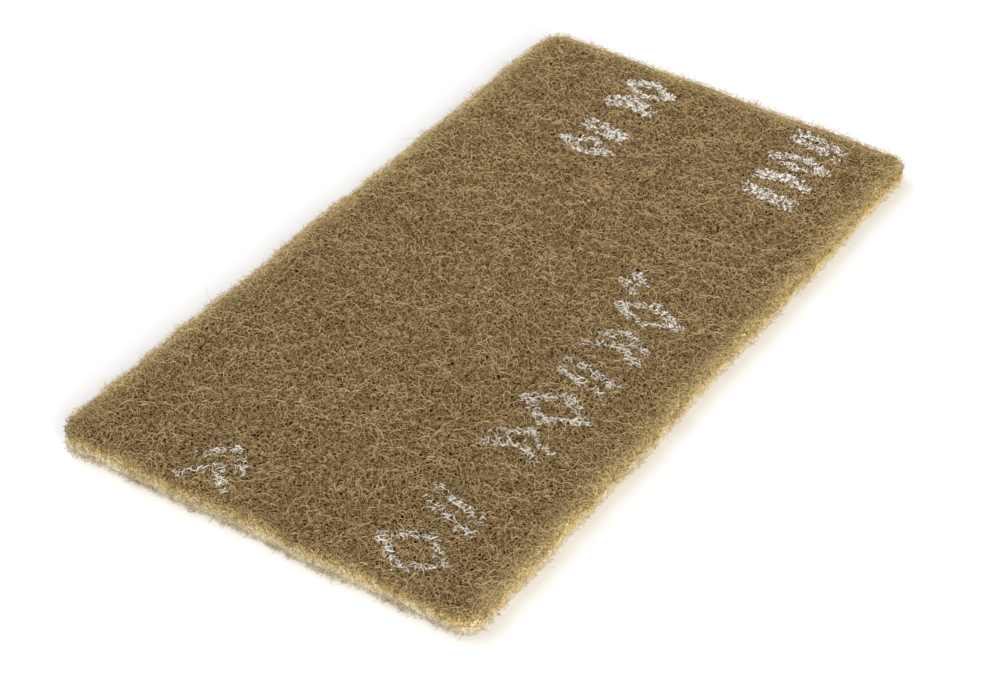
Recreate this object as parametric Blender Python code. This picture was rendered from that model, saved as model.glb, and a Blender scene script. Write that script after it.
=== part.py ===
"""A rectangular hand pad of non-woven abrasive web, cut with a die from thick felted sheet.

Units are metres. X runs along the pad, Y across it and Z up. The origin is the middle of the
flat face the pad lies on.
"""

import math

import bmesh
import bpy
from mathutils import Matrix, Vector

# The pad as it is cut and sold.
PAD_LENGTH = 0.230
PAD_WIDTH = 0.115
PAD_THICKNESS = 0.0065
CORNER_RADIUS = 0.005

# The die presses the rims down, more on the side it enters than on the side it leaves.
TOP_RIM_RADIUS = 0.002
BOTTOM_RIM_RADIUS = 0.0008

# The springy web lets the cut edge sway, and its loft rises and falls over the upper face.
# Two swells that run askew to each other keep both from looking regular.
EDGE_SWAY = 0.0004
SWAY_WAVELENGTH_ALONG = 0.083
SWAY_WAVELENGTH_ACROSS = 0.057
LOFT_RELIEF = 0.0003
LOFT_WAVELENGTH_ALONG = 0.053
LOFT_WAVELENGTH_ACROSS = 0.034
SECOND_SWELL = 0.61

# How finely the curved rims and the rolling upper face are divided.
CORNER_FACETS = 6
TOP_RIM_FACETS = 4
BOTTOM_RIM_FACETS = 2
RELIEF_PITCH = 0.005

# The tan abrasive coat, as linear red, green and blue.
WEB_COLOUR = (0.216, 0.153, 0.078)
WEB_ROUGHNESS = 0.92
WEB_METALLIC = 0.0

SAME_HEIGHT = 1e-6


def clear_scene():
    """Remove every object that the file opened with."""
    for thing in list(bpy.data.objects):
        bpy.data.objects.remove(thing, do_unlink=True)


def web_material():
    """Return the matt tan material of the coated web."""
    material = bpy.data.materials.new("abrasive_web")
    material.use_nodes = True
    shader = material.node_tree.nodes["Principled BSDF"]
    shader.inputs["Base Color"].default_value = (*WEB_COLOUR, 1.0)
    shader.inputs["Roughness"].default_value = WEB_ROUGHNESS
    shader.inputs["Metallic"].default_value = WEB_METALLIC
    return material


def round_edges(shape, edges, radius, facets):
    """Round the given edges of a shape with an arc of the given radius."""
    bmesh.ops.bevel(
        shape,
        geom=edges,
        offset=radius,
        offset_type="OFFSET",
        segments=facets,
        profile=0.5,
        affect="EDGES",
        clamp_overlap=True,
    )


def edges_at_height(shape, height):
    """Return the edges that lie flat at one height."""
    return [
        edge
        for edge in shape.edges
        if all(abs(corner.co.z - height) < SAME_HEIGHT for corner in edge.verts)
    ]


def die_cut_slab(shape):
    """Fill an empty shape with the slab: four round corners and two eased rims."""
    middle = Matrix.Translation((0.0, 0.0, PAD_THICKNESS / 2))
    sides = Matrix.Diagonal((PAD_LENGTH, PAD_WIDTH, PAD_THICKNESS, 1.0))
    bmesh.ops.create_cube(shape, size=1.0, matrix=middle @ sides)
    upright = [
        edge
        for edge in shape.edges
        if abs(edge.verts[0].co.z - edge.verts[1].co.z) > SAME_HEIGHT
    ]
    round_edges(shape, upright, CORNER_RADIUS, CORNER_FACETS)
    round_edges(shape, edges_at_height(shape, PAD_THICKNESS), TOP_RIM_RADIUS, TOP_RIM_FACETS)
    round_edges(shape, edges_at_height(shape, 0.0), BOTTOM_RIM_RADIUS, BOTTOM_RIM_FACETS)


def slice_along(shape, direction, side):
    """Cut a shape across one direction at an even pitch, between its round corners.

    side is the pad's whole size in that direction. The cuts only add edges for the relief.
    """
    straight = side - 2 * CORNER_RADIUS
    bays = max(1, round(straight / RELIEF_PITCH))
    for number in range(1, bays):
        place = straight * (number / bays - 0.5)
        bmesh.ops.bisect_plane(
            shape,
            geom=shape.verts[:] + shape.edges[:] + shape.faces[:],
            dist=SAME_HEIGHT,
            plane_co=direction * place,
            plane_no=direction,
        )


def merge_base(shape):
    """Join the faces the pad lies on into one flat face."""
    inner = [
        edge
        for edge in edges_at_height(shape, 0.0)
        if all(face.normal.z < -0.5 and is_level(face) for face in edge.link_faces)
    ]
    bmesh.ops.dissolve_edges(shape, edges=inner, use_verts=False)


def is_level(face):
    """Tell whether all corners of a face are at the base."""
    return all(abs(corner.co.z) < SAME_HEIGHT for corner in face.verts)


def swell(place, wavelength, start):
    """Return the mean of two sine waves at a place, from -1 to 1.

    The second wave is SECOND_SWELL as long as the first, so the sum takes long to repeat.
    """
    turn = 2 * math.pi * place / wavelength
    return (math.sin(turn + start) + math.sin(turn / SECOND_SWELL + 2 * start)) / 2


def loft(x, y):
    """Return how far the upper face stands above or below its mean height at (x, y)."""
    along = swell(x + y / 3, LOFT_WAVELENGTH_ALONG, 0.4)
    across = swell(y - x / 4, LOFT_WAVELENGTH_ACROSS, 0.9)
    return LOFT_RELIEF * (along + across) / 2


def let_web_relax(shape):
    """Sway the cut edges in plan and roll the upper face, with the base kept flat."""
    for corner in shape.verts:
        x, y, z = corner.co
        corner.co.x = x + EDGE_SWAY * swell(y, SWAY_WAVELENGTH_ACROSS, 0.4)
        corner.co.y = y + EDGE_SWAY * swell(x, SWAY_WAVELENGTH_ALONG, 1.3)
        corner.co.z = z * (1 + loft(x, y) / PAD_THICKNESS)


def centre_in_plan(shape):
    """Move a shape so that its box is centred on the Z axis."""
    for axis in range(2):
        places = [corner.co[axis] for corner in shape.verts]
        middle = (min(places) + max(places)) / 2
        for corner in shape.verts:
            corner.co[axis] -= middle


def abrasive_pad():
    """Return the pad as one closed solid."""
    shape = bmesh.new()
    die_cut_slab(shape)
    slice_along(shape, Vector((1.0, 0.0, 0.0)), PAD_LENGTH)
    slice_along(shape, Vector((0.0, 1.0, 0.0)), PAD_WIDTH)
    shape.normal_update()
    merge_base(shape)
    let_web_relax(shape)
    centre_in_plan(shape)
    mesh = bpy.data.meshes.new("abrasive_pad")
    shape.to_mesh(mesh)
    shape.free()
    mesh.shade_smooth()
    mesh.set_sharp_from_angle(angle=math.radians(40))
    mesh.materials.append(web_material())
    return bpy.data.objects.new("abrasive_pad", mesh)


def main():
    """Build the pad in a collection of its own."""
    clear_scene()
    collection = bpy.data.collections.new("non_woven_abrasive_pad")
    bpy.context.scene.collection.children.link(collection)
    collection.objects.link(abrasive_pad())


main()
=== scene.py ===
"""The looks of a non-woven abrasive hand pad.

The pad is a felted web of curly, abrasive-coated fibres, tan on its faces and golden at its
die-cut sides, with a broken silver print on the fibre tips of its upper face. Each fibre that
shows is a thin closed tube. Under them lies the dense middle of the web.
"""

import logging
import math
from dataclasses import dataclass, replace
from enum import Enum
from functools import partial

import bpy
import numpy as np
from mathutils import Matrix, Vector

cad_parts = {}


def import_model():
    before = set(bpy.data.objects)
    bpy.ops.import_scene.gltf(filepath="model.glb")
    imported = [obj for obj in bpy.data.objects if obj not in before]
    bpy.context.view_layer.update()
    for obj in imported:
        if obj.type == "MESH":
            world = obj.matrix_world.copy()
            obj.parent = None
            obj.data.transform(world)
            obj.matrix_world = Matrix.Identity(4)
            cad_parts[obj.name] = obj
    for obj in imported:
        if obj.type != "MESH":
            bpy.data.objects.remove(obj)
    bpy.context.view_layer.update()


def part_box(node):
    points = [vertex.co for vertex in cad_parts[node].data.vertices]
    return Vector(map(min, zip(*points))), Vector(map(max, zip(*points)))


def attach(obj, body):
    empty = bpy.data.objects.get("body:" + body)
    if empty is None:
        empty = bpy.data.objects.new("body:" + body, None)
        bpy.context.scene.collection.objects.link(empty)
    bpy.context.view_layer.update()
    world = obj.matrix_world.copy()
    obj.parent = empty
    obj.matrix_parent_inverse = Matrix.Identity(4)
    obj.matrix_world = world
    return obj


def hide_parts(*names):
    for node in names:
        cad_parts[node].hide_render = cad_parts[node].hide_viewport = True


log = logging.getLogger("abrasive_pad")

Pair = tuple[float, float]
Span = tuple[float, float]
Triple = tuple[float, float, float]
Colour = tuple[float, float, float]
Stop = tuple[float, Colour]
Socket = bpy.types.NodeSocket
Piece = bpy.types.Object

MM = 0.001
PAD_NODE = "abrasive_pad"
BODY = "root"
SEED = 7319

# What both of the web's materials share: a pale foot of painted light, and patches of greener
# grain.
FOOT_GLOW_HEIGHT = 4.1 * MM
FOOT_GLOW_SHARE = 0.8
PATCH_SCALE = 95.0
PATCH_SHARE = 0.14

TONE = "tone"
GILD = "gild"
BAKE_MAP = "OFBake"
NO_TRIANGLES = np.zeros((0, 3), int)
UPRIGHT = np.array([0.0, 0.0, 1.0])


def smooth_step(value: np.ndarray, low: float, high: float) -> np.ndarray:
    """Ease from 0 at low to 1 at high, as 3t squared less 2t cubed.

    Args:
        value: The numbers to ease.
        low: Where the result is still 0.
        high: Where the result reaches 1. It may be below low.

    Returns:
        The eased numbers, in an array of the same shape.
    """
    share = np.clip((value - low) / (high - low), 0.0, 1.0)
    return share * share * (3.0 - 2.0 * share)


@dataclass(frozen=True)
class PadForm:
    """The pad's skin: the form that the core fills and that every fibre follows.

    Pieces are worked out on a straight slab and then relaxed, which sways the edges and rolls
    the upper face as on the real web.
    """

    length: float
    width: float
    thickness: float
    corner_radius: float = 5.0 * MM
    top_rim: float = 2.0 * MM
    bottom_rim: float = 0.8 * MM
    edge_sway: float = 0.4 * MM
    sway_along: float = 83.0 * MM
    sway_across: float = 57.0 * MM
    loft_relief: float = 0.3 * MM
    loft_along: float = 53.0 * MM
    loft_across: float = 34.0 * MM
    second_swell: float = 0.61
    fluff: float = 0.9 * MM
    fluff_rim: float = 1.3 * MM
    sway_peak: float = 0.92
    loft_peak: float = 0.93
    edge_band: Span = (2.0 * MM, 8.0 * MM)
    gold_wave: float = 31.0 * MM
    tinge_share: float = 0.22

    @classmethod
    def from_frame(cls) -> "PadForm":
        """Read the pad's sizes from its node's box, less the sway's and the rolls' peaks.

        Returns:
            The form.
        """
        low, high = (Vector(corner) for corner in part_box(PAD_NODE))
        size = high - low
        swayed = 2.0 * cls.edge_sway * cls.sway_peak
        lofted = cls.loft_relief * cls.loft_peak
        return cls(size.x - swayed, size.y - swayed, size.z - lofted)

    def inside(self, x: np.ndarray, y: np.ndarray) -> np.ndarray:
        """Measure how far points lie inside the cut outline.

        The outline is a rectangle with round corners. The distance is the corner radius less
        the length of what sticks out past the corner centres' box.

        Args:
            x: Places along the pad.
            y: Places across the pad.

        Returns:
            Distances in metres, negative outside the outline.
        """
        past_x = np.abs(x) - (self.length / 2 - self.corner_radius)
        past_y = np.abs(y) - (self.width / 2 - self.corner_radius)
        outer = np.hypot(np.maximum(past_x, 0.0), np.maximum(past_y, 0.0))
        inner = np.minimum(np.maximum(past_x, past_y), 0.0)
        return self.corner_radius - outer - inner

    def top_height(self, inside: np.ndarray, rim: float) -> np.ndarray:
        """Return the upper skin's height: flat, then a quarter round down to the wall."""
        reach = np.clip(rim - inside, 0.0, rim)
        return self.thickness - rim + np.sqrt(rim**2 - reach**2)

    def fluff_height(self, inside: np.ndarray) -> np.ndarray:
        """Return the fluff's height: the skin's, rounded tighter and carried past the cut."""
        return self.top_height(inside + self.fluff, self.fluff_rim)

    def wall_inset(self, z: np.ndarray) -> np.ndarray:
        """Measure how far the fluff's wall stands back at its rims, a round and a bevel.

        Args:
            z: Heights.

        Returns:
            Distances inwards from the outline.
        """
        above = np.clip(z - (self.thickness - self.fluff_rim), 0.0, self.fluff_rim)
        below = np.clip(self.bottom_rim / 2 - z, 0.0, self.bottom_rim)
        return self.fluff_rim - np.sqrt(self.fluff_rim**2 - above**2) + below

    def outline(self, along: np.ndarray) -> tuple[np.ndarray, np.ndarray]:
        """Walk round the cut outline.

        Four quarter circles are joined by straight runs. The places between their stations
        are read off by distance walked.

        Args:
            along: Distances walked from the first corner. They may pass a full turn.

        Returns:
            Points in plan and outward normals, each with a last axis of two.
        """
        turns = np.linspace(0.0, math.pi / 2, 13)
        centres = ((1, 1), (-1, 1), (-1, -1), (1, -1))
        angle = np.concatenate([turns + number * math.pi / 2 for number in range(4)])
        sign = np.repeat(np.array(centres, float), len(turns), axis=0)
        half = np.array([self.length / 2, self.width / 2]) - self.corner_radius
        normal = np.stack([np.cos(angle), np.sin(angle)], axis=1)
        place = sign * half + normal * self.corner_radius
        place = np.vstack([place, place[:1]])
        normal = np.vstack([normal, normal[:1]])
        walked = np.concatenate([[0.0], np.cumsum(np.hypot(*np.diff(place, axis=0).T))])
        at = np.mod(along, walked[-1])
        points = np.stack([np.interp(at, walked, column) for column in place.T], axis=-1)
        facing = np.stack([np.interp(at, walked, column) for column in normal.T], axis=-1)
        facing /= np.linalg.norm(facing, axis=-1, keepdims=True)
        return points, facing

    def past_near_end(self, x: np.ndarray, low: float, high: float) -> np.ndarray:
        """Ease from 0 to 1 between two distances from the pad's -X end."""
        return smooth_step(x, low - self.length / 2, high - self.length / 2)

    def gold_reach(self, x: np.ndarray, y: np.ndarray) -> np.ndarray:
        """Return how far gold reaches inwards.

        It reaches less at the -X end, a little more at the sides that face away from there, and
        waxes and wanes along the edges.

        Args:
            x: Places along the pad.
            y: Places across the pad.

        Returns:
            Reaches in metres. Below nothing the gold is only faint.
        """
        low, high = self.edge_band
        near_end = 1.0 - self.past_near_end(x, 1 * MM, high)
        far_end = smooth_step(x, self.length / 2 - high, self.length / 2 - low)
        far_side = smooth_step(y, self.width / 2 - high, self.width / 2 - low)
        wave = self.swell(x - y, self.gold_wave, 0.7)
        return (0.6 - 1.6 * near_end + 0.5 * far_end + 0.6 * far_side + 0.6 * wave) * MM

    def tinge(self, x: np.ndarray, inside: np.ndarray) -> np.ndarray:
        """Return a faint share of gold that fades inwards, and is missing at the -X end."""
        past_end = self.past_near_end(x, 2 * MM, 9 * MM)
        return self.tinge_share * past_end * (1.0 - smooth_step(inside, 1.0 * MM, 7.5 * MM))

    def perimeter(self) -> float:
        """Return the length of the cut outline."""
        straight = 2 * (self.length + self.width) - 8 * self.corner_radius
        return straight + 2 * math.pi * self.corner_radius

    def swell(self, place: np.ndarray, wavelength: float, start: float) -> np.ndarray:
        """Return the mean of two sine waves, the second shorter by second_swell."""
        turn = 2 * math.pi * place / wavelength
        return (np.sin(turn + start) + np.sin(turn / self.second_swell + 2 * start)) / 2

    def relax(self, points: np.ndarray) -> np.ndarray:
        """Sway points of the straight slab in plan and lift them with the upper face's rolls.

        Args:
            points: Places with a last axis of three.

        Returns:
            The relaxed places, in a new array of the same shape.
        """
        x, y, z = np.moveaxis(points, -1, 0)
        along = self.swell(x + y / 3, self.loft_along, 0.4)
        across = self.swell(y - x / 4, self.loft_across, 0.9)
        lift = 1.0 + self.loft_relief * (along + across) / 2 / self.thickness
        sway_x = self.edge_sway * self.swell(y, self.sway_across, 0.4)
        sway_y = self.edge_sway * self.swell(x, self.sway_along, 1.3)
        return np.stack([x + sway_x, y + sway_y, z * lift], axis=-1)


class Shades:
    """Adds nodes to a material and wires them, left to right."""

    def __init__(self, name: str) -> None:
        """Start a material with its Principled shader.

        Args:
            name: The material's name.
        """
        self.material = bpy.data.materials.new(name)
        self.material.use_nodes = True
        self.tree = self.material.node_tree
        self.shader = self.tree.nodes["Principled BSDF"]

    def feed(self, source: object, target: Socket) -> None:
        """Wire a socket into another, or set a plain value on it.

        Args:
            source: A socket or a plain value.
            target: The input that it goes to.
        """
        if isinstance(source, Socket):
            self.tree.links.new(source, target)
        else:
            target.default_value = source

    def add(
        self, kind: str, sources: dict[str | int, object] | None = None, **settings: object
    ) -> bpy.types.Node:
        """Add a node, set its options and feed its inputs.

        Args:
            kind: Blender's name for the node.
            sources: A socket or a plain value for each input, by its name or number.
            **settings: The node's options.

        Returns:
            The node.
        """
        node = self.tree.nodes.new(kind)
        for name, value in settings.items():
            setattr(node, name, value)
        for name, source in (sources or {}).items():
            self.feed(source, node.inputs[name])
        return node

    def objects_place(self) -> Socket:
        """Return the Object coordinates."""
        return self.add("ShaderNodeTexCoord").outputs["Object"]

    def attribute(self, name: str) -> Socket:
        """Return a number stored on the mesh."""
        return self.add("ShaderNodeAttribute", attribute_name=name).outputs["Fac"]

    def noise(self, scale: float, detail: float, shift: float = 0.0) -> Socket:
        """Add noise over Object coordinates.

        Args:
            scale: Its scale per metre.
            detail: How many finer layers it has.
            shift: How far it is moved along each axis, in metres.

        Returns:
            The noise, about a half on average.
        """
        moved = {"Vector": self.objects_place(), "Location": (shift, shift, shift)}
        place = self.add("ShaderNodeMapping", moved).outputs["Vector"]
        sources = {"Vector": place, "Scale": scale, "Detail": detail}
        return self.add("ShaderNodeTexNoise", sources).outputs["Fac"]

    def foot_glow_share(self) -> Socket:
        """Tell how near a place is to the pad's foot, where a painted glow stands for the floor's
        light.

        Returns:
            A share that falls from FOOT_GLOW_SHARE at the floor to 0 at FOOT_GLOW_HEIGHT.
        """
        split = self.add("ShaderNodeSeparateXYZ", {0: self.objects_place()})
        reach = {"From Min": 0.0, "From Max": FOOT_GLOW_HEIGHT, "To Min": FOOT_GLOW_SHARE, "To Max": 0.0}
        share = self.add("ShaderNodeMapRange", {"Value": split.outputs["Z"], **reach})
        return share.outputs["Result"]

    def patches(self) -> Socket:
        """Return shares up to PATCH_SHARE in soft patches, where the web's grain is greener."""
        stops = ((0.45, (0, 0, 0)), (0.7, (PATCH_SHARE,) * 3))
        return self.ramp(self.noise(PATCH_SCALE, 2.0), stops)

    def sum_up(
        self, operation: str, first: object, second: object, third: object = 0.0
    ) -> Socket:
        """Return the outcome of a sum on two or three numbers."""
        sources = {0: first, 1: second, 2: third}
        return self.add("ShaderNodeMath", sources, operation=operation).outputs[0]

    def vector_sum(
        self, operation: str, first: object, second: object, third: object = (0.0, 0.0, 0.0)
    ) -> Socket:
        """Work out a sum on two or three vectors.

        Args:
            operation: Blender's name for the sum.
            first: The first vector.
            second: The second vector.
            third: The third vector, for the sums that take one.

        Returns:
            A number for a dot product, else a vector.
        """
        sources = {0: first, 1: second, 2: third}
        node = self.add("ShaderNodeVectorMath", sources, operation=operation)
        return node.outputs["Value" if operation == "DOT_PRODUCT" else "Vector"]

    def ramp(self, source: Socket, stops: tuple[Stop, ...]) -> Socket:
        """Read a colour off a ramp.

        Where two stops share a place, the ramp runs up to the first colour and jumps there to
        the second.

        Args:
            source: The place on the ramp.
            stops: Places and linear colours, two or more, in order.

        Returns:
            The colour.
        """
        node = self.add("ShaderNodeValToRGB", {"Fac": source})
        elements = node.color_ramp.elements
        for place, _ in stops[2:]:
            elements.new(place)
        for element, (place, colour) in zip(elements, stops):
            element.position = place
            element.color = (*colour, 1.0)
        return node.outputs["Color"]

    def mix(self, share: object, first: object, second: object) -> Socket:
        """Return a mix of two colours."""
        sources = {"Factor": share, 6: first, 7: second}
        return self.add("ShaderNodeMix", sources, data_type="RGBA").outputs[2]

    def bump(self, height: object, strength: float, distance: float) -> None:
        """Raise the surface.

        Args:
            height: The relief, from 0 to 1.
            strength: How much of it shows.
            distance: How high 1 stands, in metres.
        """
        sources = {"Height": height, "Strength": strength, "Distance": distance}
        node = self.add("ShaderNodeBump", sources)
        self.feed(node.outputs["Normal"], self.shader.inputs["Normal"])

    def finish(self, colour: object, roughness: float, shine: float) -> bpy.types.Material:
        """Give the shader its colour, roughness and shine.

        Args:
            colour: A socket, or a linear colour with its alpha.
            roughness: From 0 for a mirror to 1 for chalk.
            shine: The strength of the surface's own reflection.

        Returns:
            The finished material.
        """
        self.feed(colour, self.shader.inputs["Base Color"])
        self.feed(roughness, self.shader.inputs["Roughness"])
        self.feed(shine, self.shader.inputs["Specular IOR Level"])
        return self.material


def seen_rays(tree: bpy.types.NodeTree) -> Socket:
    """Pick out the rays by which a thing is seen, straight, in mirrors and through glass.

    Args:
        tree: The nodes to add to.

    Returns:
        1 for such rays, and 0 for those that carry light about.
    """
    rays = tree.nodes.new("ShaderNodeLightPath")
    seen = rays.outputs["Is Camera Ray"]
    for kind in ("Is Glossy Ray", "Is Transmission Ray"):
        either = tree.nodes.new("ShaderNodeMath")
        either.operation = "MAXIMUM"
        tree.links.new(seen, either.inputs[0])
        tree.links.new(rays.outputs[kind], either.inputs[1])
        seen = either.outputs[0]
    return seen


def linear(red: int, green: int, blue: int) -> Colour:
    """Turn a screen colour into a linear one.

    Args:
        red: The screen's red, from 0 to 255.
        green: The screen's green.
        blue: The screen's blue.

    Returns:
        Linear red, green and blue, from 0 to 1.
    """
    shares = (red / 255, green / 255, blue / 255)
    return tuple(
        share / 12.92 if share <= 0.04045 else ((share + 0.055) / 1.055) ** 2.4
        for share in shares
    )


@dataclass(frozen=True)
class CoatedFibre:
    """The abrasive coat on the fibres: tan grain in resin, golden where the die cut it.

    A fibre's tone runs from dark to pale. Past that the fibre is worn to a middle shade.
    """

    name: str = "coated_fibre"
    dark: Colour = linear(74, 49, 19)
    pale: Colour = linear(236, 208, 156)
    worn: Colour = linear(174, 139, 87)
    gold_dark: Colour = linear(130, 102, 54)
    gold_pale: Colour = linear(255, 240, 172)
    gold_worn: Colour = linear(255, 206, 100)
    # Painted light: the pale foot stands for the bright floor's light through the fibres.
    foot: Colour = linear(255, 248, 220)
    olive: Colour = linear(166, 150, 104)
    roughness: float = 0.6
    shine: float = 0.25
    grain_scale: float = 2600.0
    grain_tone: float = 0.5
    grain_bump: float = 0.35
    grain_height: float = 0.05 * MM

    def material(self) -> bpy.types.Material:
        """Build the coat: a tone for each fibre, with its painted light and shade, olive patches,
        grain and gilding.

        Returns:
            The material.
        """
        shades = Shades(self.name)
        grain = shades.noise(self.grain_scale, 1.0)
        speckle = shades.sum_up("SUBTRACT", grain, 0.5)
        speckle = shades.sum_up("MULTIPLY", speckle, self.grain_tone)
        tone = shades.sum_up("ADD", shades.attribute(TONE), speckle)
        tans = ((0.0, self.dark), (1.0, self.pale), (1.0, self.worn))
        golds = ((0.0, self.gold_dark), (1.0, self.gold_pale), (1.0, self.gold_worn))
        tan = shades.mix(shades.patches(), shades.ramp(tone, tans), (*self.olive, 1.0))
        golden = shades.mix(shades.foot_glow_share(), shades.ramp(tone, golds), (*self.foot, 1.0))
        shades.bump(grain, self.grain_bump, self.grain_height)
        colour = shades.mix(shades.attribute(GILD), tan, golden)
        return shades.finish(colour, self.roughness, self.shine)


@dataclass(frozen=True)
class DeepWeb:
    """The dense middle of the web, seen between the fibres as more fibres in shade.
    The near-black pits between its strands are painted shade.

    Its strands are brightest on their flanks, and their crests turn darker again.
    """

    name: str = "deep_web"
    # Painted shade: the near-black pits between the strands.
    pit_shade: Colour = linear(24, 12, 0)
    flank: Colour = linear(228, 192, 134)
    crest: Colour = linear(96, 68, 29)
    olive: Colour = linear(92, 80, 44)
    gold_pit: Colour = linear(140, 106, 44)
    gold_flank: Colour = linear(255, 244, 190)
    gold_crest: Colour = linear(252, 213, 116)
    # Painted light: the pale foot stands for the bright floor's light through the fibres.
    foot: Colour = linear(255, 248, 224)
    roughness: float = 0.95
    shine: float = 0.05
    strand_scales: tuple[float, ...] = (430.0, 540.0, 680.0, 860.0, 1080.0, 1350.0)
    strand_reach: float = 0.09 * MM
    pattern_step: float = 0.37
    curl: float = 0.9 * MM
    curl_scale: float = 500.0
    upright: float = 0.5
    dive_scale: float = 640.0
    dive_step: float = 0.53
    dive_gain: float = 2.4
    dive_base: float = -0.4
    grit_scale: float = 1900.0
    grit_middle: float = 0.42
    grit_gain: float = 2.2
    strand_gain: float = 0.6
    relief: float = 0.1 * MM

    def strands(self, shades: Shades) -> Socket:
        """Draw thin short strands, as a height from 0 in the pits to about 1 on the top ones.

        Space is split into cells, and each cell has a plane through its point that faces its
        own way. A strand shows where the surface cuts such a plane, and ends at the cell's
        border. Noise pushes the places about, which bends the strands, and more noise makes
        them dive. Several such patterns lie over each other.

        Args:
            shades: The material to add the strands to.

        Returns:
            The height.
        """
        sources = {"Vector": shades.objects_place(), "Scale": self.curl_scale, "Detail": 0.0}
        push = shades.add("ShaderNodeTexNoise", sources).outputs["Color"]
        curl = (self.curl,) * 3
        bent = shades.vector_sum("MULTIPLY_ADD", push, curl, shades.objects_place())
        height = None
        for number, scale in enumerate(self.strand_scales, 1):
            place = shades.vector_sum("ADD", bent, (self.pattern_step * number,) * 3)
            sources = {"Vector": place, "Scale": scale}
            cells = shades.add("ShaderNodeTexVoronoi", sources, feature="F1")
            away = shades.vector_sum("SUBTRACT", place, cells.outputs["Position"])
            facing = shades.vector_sum("SUBTRACT", cells.outputs["Color"], (0.5, 0.5, 0.5))
            facing = shades.vector_sum("MULTIPLY", facing, (1.0, 1.0, self.upright))
            facing = shades.vector_sum("NORMALIZE", facing, (0.0, 0.0, 0.0))
            off = shades.vector_sum("DOT_PRODUCT", away, facing)
            off = shades.sum_up("DIVIDE", shades.sum_up("ABSOLUTE", off, 0.0), self.strand_reach)
            line = shades.sum_up("MAXIMUM", shades.sum_up("SUBTRACT", 1.0, off), 0.0)
            dive = shades.noise(self.dive_scale, 0.0, self.dive_step * number)
            dive = shades.sum_up("MULTIPLY_ADD", dive, self.dive_gain, self.dive_base)
            level = shades.sum_up("MULTIPLY", line, dive)
            height = level if height is None else shades.sum_up("MAXIMUM", height, level)
        return height

    def material(self) -> bpy.types.Material:
        """Build the web: tan strands over pits of painted shade, and golden grit near the cut.

        Returns:
            The material.
        """
        shades = Shades(self.name)
        height = self.strands(shades)
        tans = ((0.05, self.pit_shade), (0.75, self.flank), (0.75, self.crest))
        tan = shades.mix(shades.patches(), shades.ramp(height, tans), (*self.olive, 1.0))
        grit = shades.sum_up("SUBTRACT", shades.noise(self.grit_scale, 1.0), self.grit_middle)
        grit = shades.sum_up("MULTIPLY", grit, self.grit_gain)
        cut = shades.sum_up("ADD", shades.sum_up("MULTIPLY", height, self.strand_gain), grit)
        golds = ((0.0, self.gold_pit), (1.0, self.gold_flank), (1.0, self.gold_crest))
        golden = shades.mix(shades.foot_glow_share(), shades.ramp(cut, golds), (*self.foot, 1.0))
        shades.bump(height, 1.0, self.relief)
        colour = shades.mix(shades.attribute(GILD), tan, golden)
        return shades.finish(colour, self.roughness, self.shine)


@dataclass(frozen=True)
class SilverInk:
    """The broken silver print: near-white flakes, a painted glint of the silver, with thin,
    brownish spots.
    """

    name: str = "silver_ink"
    # Painted reflection: the near-white flakes stand for the silver's glints.
    painted_glint: Colour = linear(255, 253, 243)
    thin: Colour = linear(150, 122, 90)
    roughness: float = 0.25
    shine: float = 1.0
    flake_scale: float = 900.0
    body_share: float = 0.4
    flake_bump: float = 0.4
    flake_height: float = 0.05 * MM

    def material(self) -> bpy.types.Material:
        """Build the ink, thicker on some fibres and broken up by noise.

        Returns:
            The material.
        """
        shades = Shades(self.name)
        body = shades.sum_up("SUBTRACT", shades.attribute(TONE), 0.5)
        body = shades.sum_up("MULTIPLY", body, self.body_share)
        flakes = shades.sum_up("ADD", shades.noise(self.flake_scale, 2.0), body)
        colour = shades.ramp(flakes, ((0.4, self.thin), (0.5, self.painted_glint)))
        shades.bump(flakes, self.flake_bump, self.flake_height)
        return shades.finish(colour, self.roughness, self.shine)


@dataclass
class Strands:
    """Centre lines of many fibres, a row each, with the looks of every point.

    A row may hold several runs: only points that are kept are drawn, and a gap ends a tube.
    """

    points: np.ndarray
    normals: np.ndarray
    keep: np.ndarray
    radius: np.ndarray
    tone: np.ndarray
    gild: np.ndarray

    def only(self, chosen: np.ndarray) -> "Strands":
        """Return the same rows with fewer points kept."""
        return replace(self, keep=self.keep & chosen)


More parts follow.
